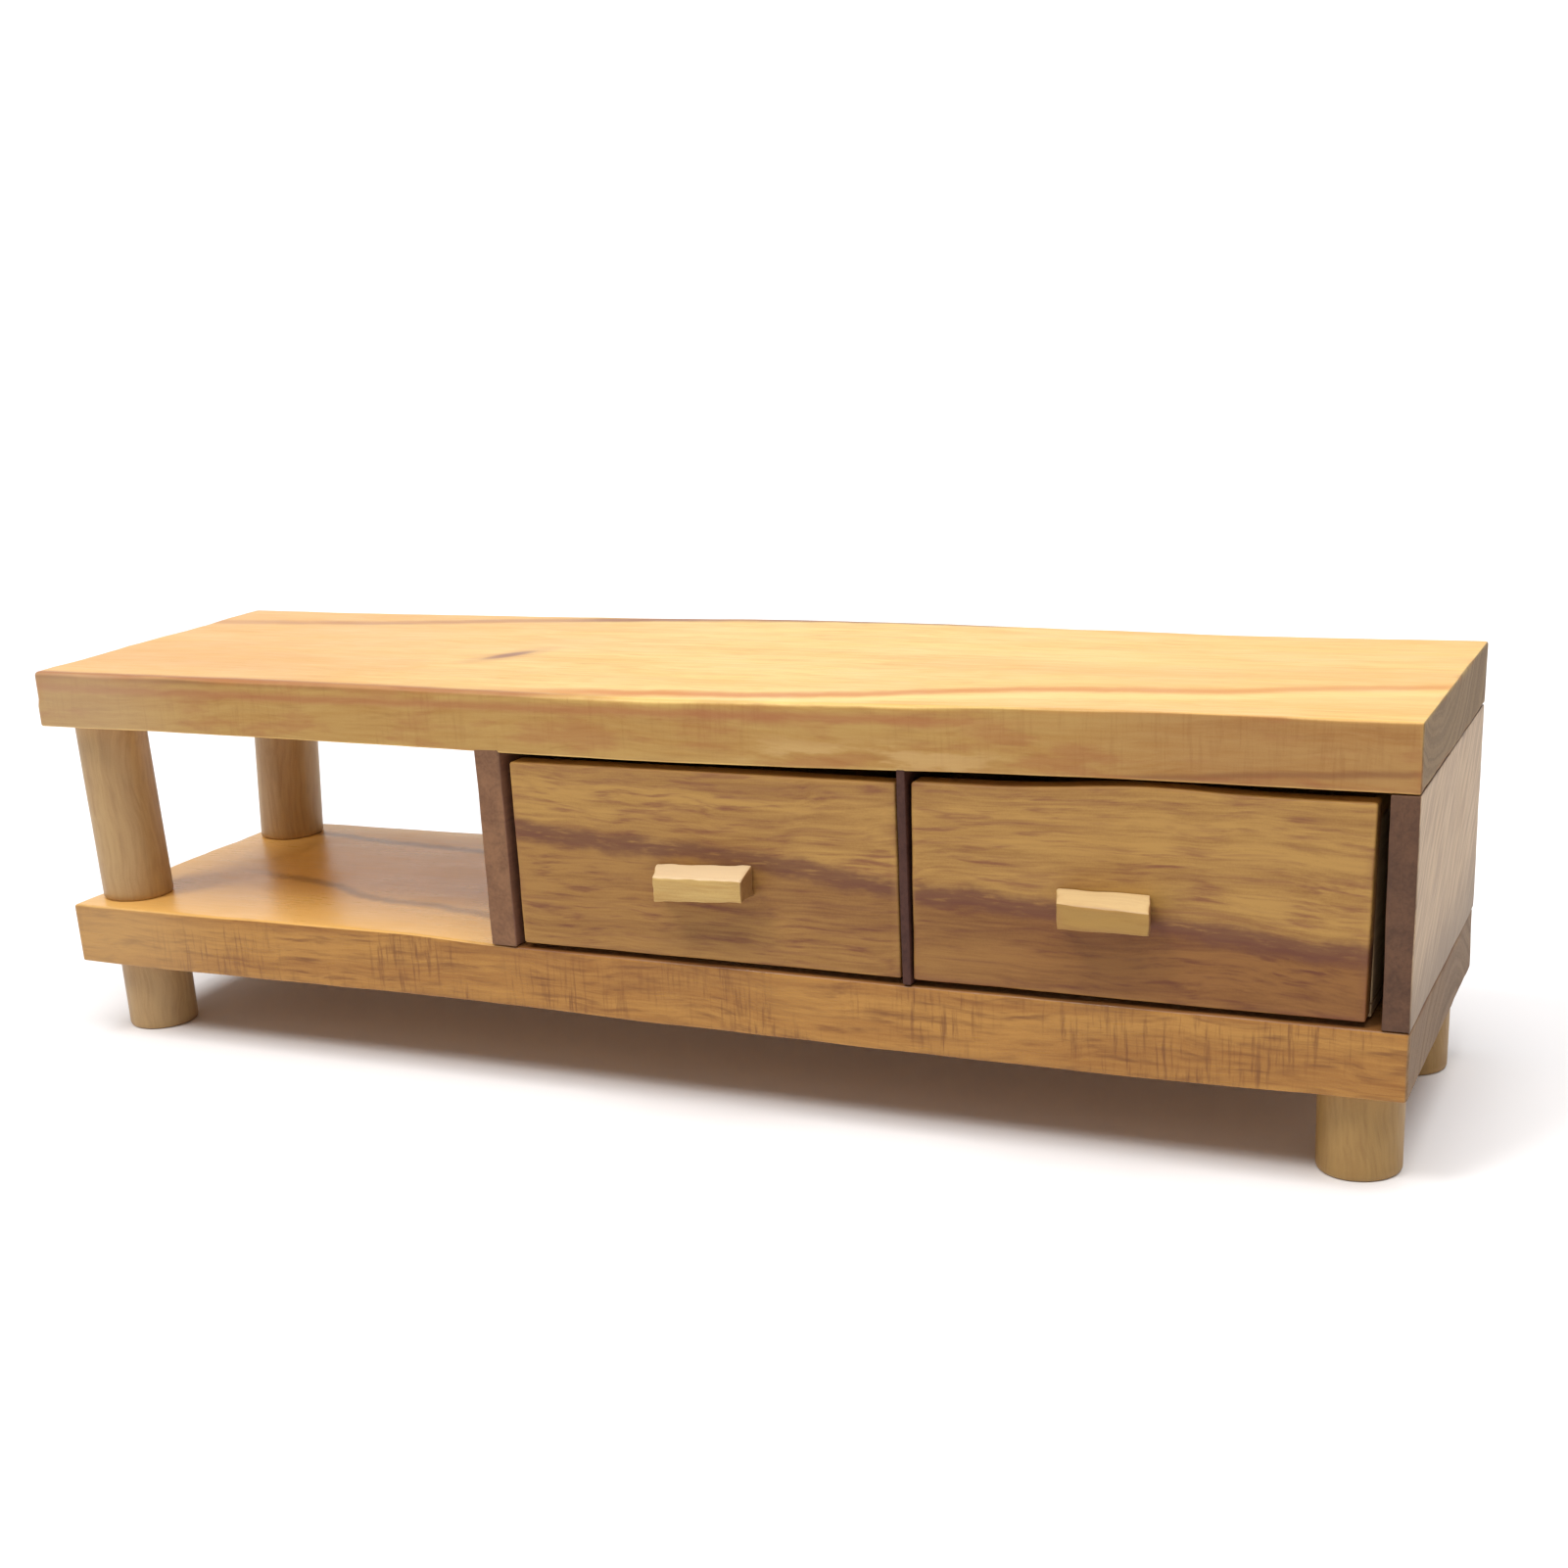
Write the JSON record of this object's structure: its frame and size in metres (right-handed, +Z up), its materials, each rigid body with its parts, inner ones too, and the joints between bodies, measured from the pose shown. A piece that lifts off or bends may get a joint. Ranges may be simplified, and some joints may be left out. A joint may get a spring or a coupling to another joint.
{
  "type": "miniature chest of drawers",
  "caption": "Long low dolls house chest with sliding drawers at the right, an open shelf bay at the left, round posts and short round feet.",
  "frame": {"origin": "on the ground, under the middle of the bounding box, handles included", "axes": "+X along the length, to the right as seen from the front; +Y to the rear, so the drawers open along -Y; +Z up"},
  "size_m": [0.1186, 0.0338, 0.0337],
  "materials": {
    "top_wood": "lacquered, honey yellow",
    "shelf_wood": "lacquered, orange brown",
    "panel_wood": "lacquered, dark brown",
    "drawer_front_wood": "lacquered, figured brown",
    "drawer_box_wood": "raw, sawn",
    "dowel_wood": "satin, pale straw",
    "handle_wood": "raw, pale straw"
  },
  "bodies": {
    "carcass": {"top_board": "top_wood", "shelf_board": "shelf_wood", "post_front_left": "dowel_wood", "post_rear_left": "dowel_wood", "foot_front_left": "dowel_wood", "foot_rear_left": "dowel_wood", "foot_front_right": "dowel_wood", "foot_rear_right": "dowel_wood", "left_partition": "panel_wood", "centre_divider": "panel_wood", "right_side_panel": "panel_wood", "back_panel": "panel_wood"},
    "drawer_left": {"drawer_left_front": "drawer_front_wood", "drawer_left_left_side": "drawer_box_wood", "drawer_left_right_side": "drawer_box_wood", "drawer_left_back": "drawer_box_wood", "drawer_left_bottom": "drawer_box_wood", "drawer_left_handle": "handle_wood"},
    "drawer_right": {"drawer_right_front": "drawer_front_wood", "drawer_right_left_side": "drawer_box_wood", "drawer_right_right_side": "drawer_box_wood", "drawer_right_back": "drawer_box_wood", "drawer_right_bottom": "drawer_box_wood", "drawer_right_handle": "handle_wood"}
  },
  "joints": [
    {"name": "drawer_left_slide", "type": "slide", "parent": "carcass", "child": "drawer_left", "axis": [0, -1, 0], "range_m": [0, 0.022]},
    {"name": "drawer_right_slide", "type": "slide", "parent": "carcass", "child": "drawer_right", "axis": [0, -1, 0], "range_m": [0, 0.022]}
  ]
}
